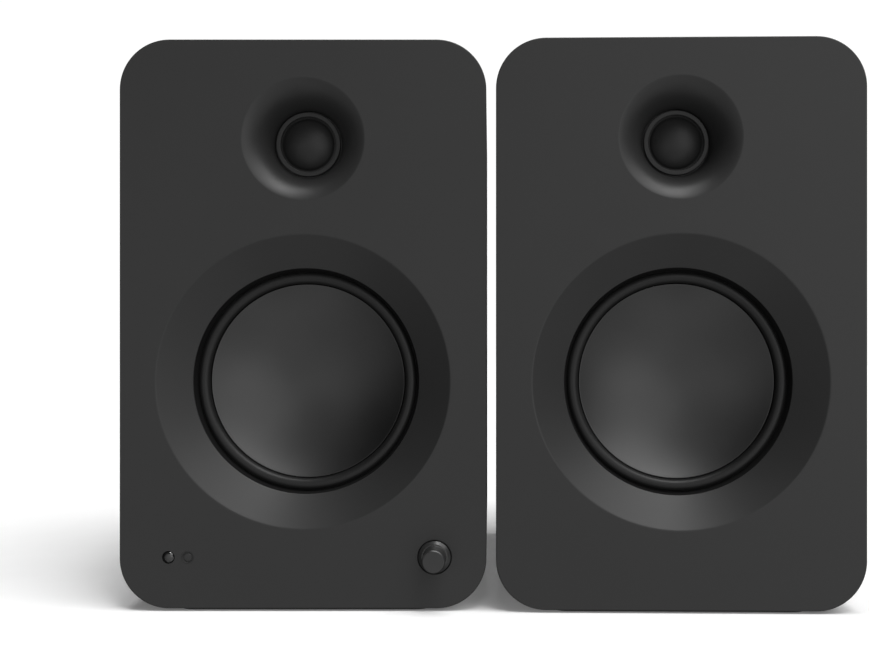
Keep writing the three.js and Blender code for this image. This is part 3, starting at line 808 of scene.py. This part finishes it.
def woofer_spider(speaker):
    """A corrugated cloth disc."""
    low, high = active.box("active_woofer_spider")
    outer, inner = (high.x - low.x) / 2, SPIDER_INNER
    middle = (low.y + high.y) / 2
    radii = np.linspace(inner, outer, 90)
    share = (radii - inner - 2) / (outer - inner - 4)
    waves = SPIDER_WAVE * np.sin(2 * math.pi * SPIDER_WAVES * share) * ((share > 0) & (share < 1))
    top = [(float(r), float(middle - 0.3 + w)) for r, w in zip(radii, waves)]
    under = [(float(r), float(middle + 0.3 + w)) for r, w in zip(radii, waves)]
    name = speaker.prefix + "woofer_spider"
    mesh = lathe(top + under[::-1], 128)
    at = (0, 0, woofer_z)
    thing = piece(name + "_cloth", mesh, "treated_cloth", speaker, at, nodes=[name], riding=False)
    follow_cone(thing)


def tweeter_ring(speaker):
    """A bead that overhangs the dome's fold by a little."""
    low, high = active.box("active_tweeter_ring")
    outer = (high.x - low.x) / 2
    inner = outer - RING_WIDTH
    outline = rounded([
        (inner, high.y),
        (inner, low.y + 0.75),
        (inner - 0.5, low.y + 0.6, 0.1),
        (inner - 0.5, low.y, 1),
        (outer + 0.1, low.y, 1),
        (outer + 0.1, low.y + 1.1, 0.1),
        (outer, high.y),
    ], 8, closed=True)
    name = speaker.prefix + "tweeter_ring"
    mesh = lathe(outline, FINE)
    return piece(name + "_bead", mesh, "dark_trim", speaker, (0, 0, tweeter_z), nodes=[name])


def tweeter_dome(speaker):
    """A soft cap with a folded edge that hangs in a groove inside the ring."""
    low, high = active.box("active_tweeter_dome")
    skirt = (high.x - low.x) / 2
    base = low.y + DOME_HEIGHT
    cap = parabola(DOME_RADIUS, base, -DOME_HEIGHT, 26)[:-1]
    groove = base + 0.6
    fold = curve((DOME_RADIUS, base + 0.1), (DOME_RADIUS + 0.15, groove), (skirt + 0.2, groove), 6)
    coil = [
        (skirt + 0.2, base + 0.8),
        (DOME_RADIUS + 0.2, base + 0.8),
        (DOME_RADIUS + 0.2, high.y),
        (DOME_RADIUS - 0.4, high.y),
        (DOME_RADIUS - 0.5, base + 0.55),
    ]
    inside = parabola(DOME_RADIUS - 0.7, base + 0.5, 0.1 - DOME_HEIGHT, 12)[::-1]
    mesh = lathe(cap + fold + coil + inside, 128)
    name = speaker.prefix + "tweeter_dome"
    at, body = (0, 0, tweeter_z), speaker.prefix + "tweeter_moving"
    return piece(name + "_cloth", mesh, "dome_cloth", speaker, at, body, [name])


for speaker in speakers:
    woofer_cone(speaker)
    woofer_surround(speaker)
    woofer_spider(speaker)
    tweeter_ring(speaker)
    tweeter_dome(speaker)


# ---- Front controls ----


def volume_knob():
    low, high = active.box("volume_knob")
    flange = (high.x - low.x) / 2
    outline = rounded([
        (0, low.y + 0.1),
        (KNOB_RADIUS - 0.6, low.y, 0.5),
        (KNOB_RADIUS, low.y + 0.6, 0.5),
        (KNOB_RADIUS, KNOB_SHOULDER, 0.5),
        (flange - 1.3, KNOB_SHOULDER, 0.8),
        (flange + 0.4, KNOB_SHOULDER + 1.2, 0.7),
        (flange + 0.4, high.y, 0.2),
        (KNOB_SOCKET, high.y),
        (KNOB_SOCKET, KNOB_SOCKET_END),
        (0, KNOB_SOCKET_END),
    ], 8)
    at, name = (knob_x, 0, control_z), "volume_knob"
    return piece(name + "_turned", lathe(outline, 128), "knob", active, at, name, [name])


def front_windows():
    """The status lens is a small dome, and the remote sensor is flush in a groove."""
    end = active.box("status_window")[1].y
    rim = WINDOW_RADIUS
    middle = LENS_CURVE - LENS_PROUD
    angles = [math.asin(rim / LENS_CURVE) * i / 14 for i in range(15)]
    dome = [(LENS_CURVE * math.sin(a), middle - LENS_CURVE * math.cos(a)) for a in angles]
    lens = lathe(dome + [(rim, end), (0, end)])
    node = "status_window"
    at = (active.centre(node).x, 0, control_z)
    piece("status_lens", lens, "smoked_lens", active, at, nodes=[node])
    sensor = rounded([
        (0, 0.05),
        (1.8, 0.05, 0.2),
        (1.95, 0.5, 0.2),
        (2.35, 0.5, 0.2),
        (2.5, 0.03, 0.2),
        (rim, 0.03, 0.1),
        (rim, end),
        (0, end),
    ], 5)
    node = "sensor_window"
    at = (active.centre(node).x, 0, control_z)
    piece("sensor_lens", lathe(sensor), "smoked_lens", active, at, nodes=[node], look="baffle")


volume_knob()
front_windows()


# ---- Rear terminals ----


def span(speaker, node):
    """A node's own axis and its ends along it: x, z, front and rear."""
    low, high = active.box(node.replace("passive_", "active_"))
    middle = speaker.centre(node)
    half = (high.y - low.y) / 2
    return middle.x, middle.z, middle.y - half, middle.y + half


def fluted(radius, front, rear, bore):
    """A nut with a round collar and a scalloped grip, bored through."""
    count = 24 * NUT_FLUTES
    grip = front + NUT_COLLAR
    rows = [
        (front, -0.3, 0),
        (front + 0.3, 0, 0),
        (grip - 0.2, 0, 0),
        (grip, 0, 0.15),
        (grip + 0.35, 0, 1),
        (rear - 0.7, 0, 1),
        (rear - 0.2, -0.35, 1),
        (rear, -0.9, 1),
    ]
    rings = []
    for y, swell, depth in rows:
        ring = []
        for i in range(count):
            angle = 2 * math.pi * i / count
            dip = 0.95 * depth * max(0.0, math.cos(NUT_FLUTES * angle)) ** 0.8
            reach = radius + swell - dip
            ring.append((reach * math.cos(angle), y, reach * math.sin(angle)))
        rings.append(ring)
    for y, reach in ((rear, bore + 0.4), (rear - 0.4, bore), (front, bore)):
        rings.append(circle(reach, y, count))
    return loft(rings, around=True)


def threaded(base, foot, front, rear):
    """A stud with its thread, on a round foot."""
    crests = []
    y = foot + 3.6
    while y < rear - 0.8:
        crests += [(STUD, y), (STUD - 0.28, y + THREAD_PITCH / 2)]
        y += THREAD_PITCH
    outline = rounded([
        (0, front),
        (STUD, front, 0.3),
        (STUD, foot),
        (base, foot, 0.3),
        (base, foot + 3, 0.5),
        (STUD, foot + 3),
    ], 3)
    return lathe(outline + crests + [(STUD - 0.5, rear - 0.1), (0, rear)], COARSE)


def binding_posts(speaker):
    bore = STUD + GAP
    for colour, grip in (("black", "gloss_black"), ("red", "red_plastic")):
        prefix = speaker.prefix
        x, z, front, rear = span(speaker, prefix + "post_" + colour)
        at = (x, 0, z)
        node = prefix + "washer_" + colour
        _, _, low, high = span(speaker, node)
        washer = rounded([
            (bore, low),
            (WASHER_RADIUS, low, 0.3),
            (WASHER_RADIUS, high, 0.3),
            (bore, high),
        ], 3)
        piece(node + "_turned", lathe(washer), "brass", speaker, at, node, [node])
        foot = low - GAP - 3
        node = prefix + "post_" + colour
        post = threaded(POST_FOOT, foot, front, rear)
        piece(node + "_turned", post, "brass", speaker, at, nodes=[node])
        node = prefix + "nut_" + colour
        _, _, low, high = span(speaker, node)
        nut = fluted(NUT_RADIUS, low, high, bore)
        piece(node + "_grip", nut, colour + "_plastic", speaker, at, node, [node], grip)


def terminal_cup():
    middle = passive.centre("terminal_cup")
    rear = plate_high.y - 0.5
    front = 2 * middle.y - rear
    outline = rounded([
        (0, front),
        (CUP_FLOOR + 1, front),
        (CUP_BODY, rear - 2, 0.5),
        (CUP_FLANGE, rear - 2, 0.2),
        (CUP_FLANGE, rear, 1.0),
        (CUP_BODY - CUP_WALL, rear, 0.8),
        (CUP_FLOOR, front + CUP_WALL, 2.5),
        (0, front + CUP_WALL),
    ], 5)
    cup = lathe(outline, FINE)
    holes = []
    for colour in ("black", "red"):
        x = passive.centre("passive_post_" + colour).x
        holes.append(moved(drill(STUD + GAP, front - 2, front + 5, COARSE), x=x))
    at, node = (0, 0, cup_z), "terminal_cup"
    piece(node + "_moulding", boolean(cup, holes), "black_plastic", passive, at, nodes=[node])
    diagonal = CUP_SCREWS / math.sqrt(2)
    places = [(a * diagonal, b * diagonal + cup_z) for a in (-1, 1) for b in (-1, 1)]
    screws("terminal_cup_screws", places, rear, passive, 1.9)


# ---- The powered speaker's rear ----


def extent(node):
    """A node's width, height, middle x and z, front and rear, on the powered speaker."""
    low, high = active.box(node)
    x, z = (low.x + high.x) / 2, (low.z + high.z) / 2
    return high.x - low.x, high.z - low.z, x, z, low.y, high.y


def flanged(node, margin, proud):
    """A box that fills the node's, with a thin flange round it that lies on the plate."""
    width, height, _, _, front, rear = extent(node)
    plate = plate_high.y
    wide, high = width + 2 * margin, height + 2 * margin
    body = slab(width, height, 1.2, front, plate + 0.5, 0.3, 0.3, 6)
    flange = slab(wide, high, 2.2, plate + 0.1, rear, 0.1, proud * 0.6, 8)
    return boolean(body, [flange], "UNION")


def mains_inlet():
    node = "mains_inlet"
    width, height, x, z, front, rear = extent(node)
    half_width, half_height = width / 2 - 1.5, height / 2 - 1.5
    mouth = rounded([
        (half_width, half_height - 3.6, 0.8),
        (half_width - 3.6, half_height, 0.8),
        (3.6 - half_width, half_height, 0.8),
        (-half_width, half_height - 3.6, 0.8),
        (-half_width, -half_height, 1.2),
        (half_width, -half_height, 1.2),
    ], 4, closed=True)
    shell = boolean(flanged(node, 1.8, 1.4), [prism(mouth, front + 3, rear + 2)])
    piece(node + "_shell", shell, "black_plastic", active, (x, 0, z), nodes=[node])
    pins = []
    for pin_x, pin_z in ((-7, -1.5), (7, -1.5), (0, 3)):
        rings = []
        for inset, along in ((0.0, 2.6), (0.0, 13.6), (0.3, 14.4), (0.8, 14.9)):
            outline = rounded_rectangle(2 - 2 * inset * 0.8, 4 - 2 * inset, 0.3, 3)
            rings.append([(a + pin_x, front + along, b + pin_z) for a, b in outline])
        pins.append(loft(rings))
    piece(node + "_pins", joined(*pins), "plated_steel", active, (x, 0, z))


def power_switch():
    node, key = "switch_housing", "power_rocker"
    width, height, x, z, front, rear = extent(node)
    opening = slab(width - 2, height - 2, 0.8, front + 2, rear + 2, 0.1, 0.1, 4)
    shell = boolean(flanged(node, 1.6, 0.7), [opening])
    piece("switch_frame", shell, "black_plastic", active, (x, 0, z), nodes=[node])
    half = (height - 2) / 2 - 2 * GAP
    lift = math.tan(math.radians(2 * KEY_TILT)) * half
    side = rounded([
        (-KEY_DEPTH, KEY_TAPER - half, 0.4),
        (0, -half, 0.3),
        (lift, -half, 0.7),
        (0.4, 0, 14),
        (0, half, 0.7),
        (-KEY_DEPTH, half - KEY_TAPER, 0.4),
    ], 6, closed=True)
    reach = (width - 2) / 2 - GAP
    rings = []
    for inset, across in edge_rows(-reach, reach, 0.4, 0.4):
        share = 1 - inset / 6
        rings.append([(across, rear - 1 + (y + 1) * share, b * share) for y, b in side])
    piece(key + "_key", loft(rings), "gloss_black", active, (x, 0, z), key, [key])


def jack_block():
    """The jacks' block: x, z of the row of two, front and rear."""
    _, _, x, _, front, rear = extent("audio_jack_block")
    return x, active.centre("data_socket").z + JACKS_OVER_SOCKET, front, rear


def audio_jacks():
    x, z, front, rear = jack_block()
    plate = plate_high.y
    depth = (front, plate_low.y - GAP)
    block = slab(2 * JACK_PITCH, 13, 1, *depth, 0.3, 0.3, 4)
    upper = moved(slab(12, AUX_RISE, 1, *depth, 0.3, 0.3, 4), z=AUX_RISE - 2)
    core = rounded([
        (1.9, front + 4),
        (JACK_SLEEVE - 0.2, front + 4),
        (JACK_SLEEVE - 0.2, rear - 5.5),
        (3.3, rear - 5.5),
        (3.3, rear, 0.3),
        (1.9, rear - 0.3, 0.3),
    ], 3)
    collar = rounded([
        (3.6, plate - 1),
        (JACK_SLEEVE, plate - 1),
        (JACK_SLEEVE, rear - 6.5, 0.3),
        (JACK_SLEEVE, rear, 0.3),
        (3.6, rear, 0.2),
    ], 3, closed=True)
    nut = rounded([
        (2.1, plate + 0.05),
        (5.4, plate + 0.05, 0.2),
        (5.4, plate + 0.8, 0.4),
        (AUX_SLEEVE - 1.2, plate + 1, 0.3),
        (2.1, plate + 1, 0.2),
    ], 3, closed=True)
    well = rounded([
        (1.85, front + 2),
        (3.4, front + 2),
        (3.4, plate + 0.7),
        (1.85, plate + 0.7, 0.3),
    ], 3)
    body, at = joined(block, upper), (x, 0, z)
    piece("audio_jack_moulding", body, "black_plastic", active, at, nodes=["audio_jack_block"])
    for side, name, tone in ((-1, "left", "black_plastic"), (1, "right", "red_plastic")):
        at = (x + side * JACK_PITCH / 2, 0, z)
        piece("line_jack_core_" + name, lathe(core, 48), tone, active, at)
        piece("line_jack_sleeve_" + name, lathe(collar, 64), "brass", active, at)
    at = (x, 0, z + AUX_RISE)
    piece("aux_jack_ring", lathe(nut, 64), "brass", active, at)
    piece("aux_jack_well", lathe(well, 48), "black_plastic", active, at)


def data_socket():
    node = "data_socket"
    width, height, x, z, front, rear = extent(node)
    at = (x, 0, z)
    shell = slab(width, height, height / 2 - 0.1, front, rear, 0.2, 0.15, 10)
    inner = (width - 0.8, height - 0.8, height / 2 - 0.5)
    shell = boolean(shell, [slab(*inner, front + 1, rear + 2, 0.1, 0.1, 10)])
    piece(node + "_shell", shell, "plated_steel", active, at, nodes=[node])
    tongue = slab(width - 2.6, 0.7, 0.3, front + 0.8, plate_high.y - 0.8, 0.1, 0.2, 4)
    piece(node + "_tongue", tongue, "black_plastic", active, at)


def amplifier_plate():
    node = "amplifier_plate"
    width, height, _, middle, front, rear = extent(node)
    blank = moved(slab(width, height, 6, front, rear, 0.2, 0.5, 10), z=middle)
    reach = (front - 2, rear + 2)
    cutters = []
    for socket in ("mains_inlet", "switch_housing", "data_socket"):
        across, up, x, z, _, _ = extent(socket)
        size = (across + 2 * GAP, up + 2 * GAP)
        hole = slab(*size, min(1.4, size[1] / 2 - 0.1), *reach, 0.1, 0.1, 6)
        cutters.append(moved(hole, x=x, z=z))
    x, z, _, _ = jack_block()
    holes = [(x + side * JACK_PITCH / 2, z, JACK_SLEEVE + GAP) for side in (-1, 1)]
    holes.append((x, z + AUX_RISE, AUX_SLEEVE))
    for colour in ("black", "red"):
        post = active.centre("active_post_" + colour)
        holes.append((post.x, post.z, STUD + GAP))
    cutters += [moved(drill(radius, *reach, 48), x=x, z=z) for x, z, radius in holes]
    piece(node + "_sheet", boolean(blank, cutters), "painted_plate", active, nodes=[node])
    x, z = width / 2 - 4.5, height / 2 - 4.5
    places = [(a * x, middle + b * z) for a in (-1, 1) for b in (-1, 0, 1)]
    screws(node + "_screws", places, rear, active, 2.6)


for speaker in speakers:
    binding_posts(speaker)
terminal_cup()
amplifier_plate()
mains_inlet()
power_switch()
audio_jacks()
data_socket()

# ---- CAD nodes that stay: those inside the cabinets ----

slots = {part["node"]: part["material_slot"] for part in frame["record"]["subparts"]}
for name, thing in frame["nodes"].items():
    thing.data.materials.clear()
    thing.data.materials.append(material(slots[name]))
    if not thing.hide_render:
        soften(thing, 45)


# ---- Camera, floor and light ----

CAMERA_BACK = 547.66  # millimetres from the powered speaker's face
CAMERA_RIGHT = 88.49  # from that speaker's centre line
CAMERA_UNDER = 8.37  # below the middle of its face
CAMERA_LENS = 47.85  # for a sensor 36 mm wide
CAMERA_SHIFT = (-0.0633, 0.0179)
FLOOR_GLOW = 0.125

camera_data = bpy.data.cameras.new("camera")
camera = bpy.data.objects.new("camera", camera_data)
bpy.context.scene.collection.objects.link(camera)
place = Vector((CAMERA_RIGHT, -CAMERA_BACK, MIDDLE - CAMERA_UNDER)) * MM
upright = Matrix.Rotation(math.pi / 2, 4, "X")
camera.matrix_world = active.matrix @ Matrix.Translation(place) @ upright
camera_data.sensor_width = 36
camera_data.lens = CAMERA_LENS
camera_data.shift_x, camera_data.shift_y = CAMERA_SHIFT
camera_data.clip_start = 0.01
bpy.context.scene.camera = camera


def floor():
    """A white sweep. It doesn't light the pair: the bounce comes from lights of its own below."""
    shader = grained("floor", 0.8, 0.7, 0.01, 400, 0.01, Specular_IOR_Level=0.0)
    shader.set(Emission_Color=(1, 1, 1, 1), Emission_Strength=FLOOR_GLOW)
    mesh = bpy.data.meshes.new("floor")
    size = 6
    corners = [(-size, -size, 0), (size, -size, 0), (size, size, 0), (-size, size, 0)]
    mesh.from_pydata(corners, [], [(0, 1, 2, 3)])
    mesh.materials.append(shader.material)
    thing = bpy.data.objects.new("floor", mesh)
    thing.visible_diffuse = False
    thing.visible_glossy = False
    thing.visible_shadow = False
    bpy.context.scene.collection.objects.link(thing)


def far_light(name, azimuth, elevation, width, strength, on_floor=True):
    """A wide soft light. Azimuth is from the front, positive to the right; all in degrees."""
    light = bpy.data.lights.new(name, "SUN")
    light.angle = math.radians(width)
    light.energy = strength
    thing = bpy.data.objects.new(name, light)
    bpy.context.scene.collection.objects.link(thing)
    turn, rise = math.radians(azimuth), math.radians(elevation)
    level = math.cos(rise)
    away = Vector((math.sin(turn) * level, -math.cos(turn) * level, math.sin(rise)))
    thing.rotation_euler = away.to_track_quat("Z", "Y").to_euler()
    if not on_floor:
        thing.light_linking.receiver_collection = pair_only


def world():
    """White to the camera, and almost dark for what lights the object."""
    made = bpy.data.worlds.new("studio")
    made.use_nodes = True
    tree = made.node_tree
    tree.nodes.clear()
    output = tree.nodes.new("ShaderNodeOutputWorld")
    mix = tree.nodes.new("ShaderNodeMixShader")
    seen = tree.nodes.new("ShaderNodeBackground")
    lit = tree.nodes.new("ShaderNodeBackground")
    path = tree.nodes.new("ShaderNodeLightPath")
    seen.inputs["Color"].default_value = (1, 1, 1, 1)
    seen.inputs["Strength"].default_value = 1.05
    lit.inputs["Color"].default_value = (1, 1, 1, 1)
    lit.inputs["Strength"].default_value = 0.01
    tree.links.new(path.outputs["Is Camera Ray"], mix.inputs["Fac"])
    tree.links.new(lit.outputs["Background"], mix.inputs[1])
    tree.links.new(seen.outputs["Background"], mix.inputs[2])
    tree.links.new(mix.outputs["Shader"], output.inputs["Surface"])
    bpy.context.scene.world = made


pair_only = bpy.data.collections.new("pair only")
for thing in bpy.context.scene.objects:
    if thing.type == "MESH":
        pair_only.objects.link(thing)
floor()
world()
far_light("key", 52, 50, 44, 1.25)
far_light("key_right", 70, 66, 36, 0.8)
far_light("key_left", 22, 63, 14, 0.7)
far_light("front", 28, 13, 50, 0.75)
far_light("front_left", -14, 13, 50, 0.3)
far_light("top", 0, 86, 30, 1.35)
far_light("bounce_left", -28, -25, 70, 0.6)
far_light("bounce_right", 40, -25, 60, 0.6)
far_light("bounce_under", 0, -65, 60, 0.35)
far_light("behind", 165, 28, 60, 2.2, on_floor=False)
far_light("behind_left", -120, 20, 60, 0.8, on_floor=False)
bpy.context.scene.view_settings.view_transform = "Standard"
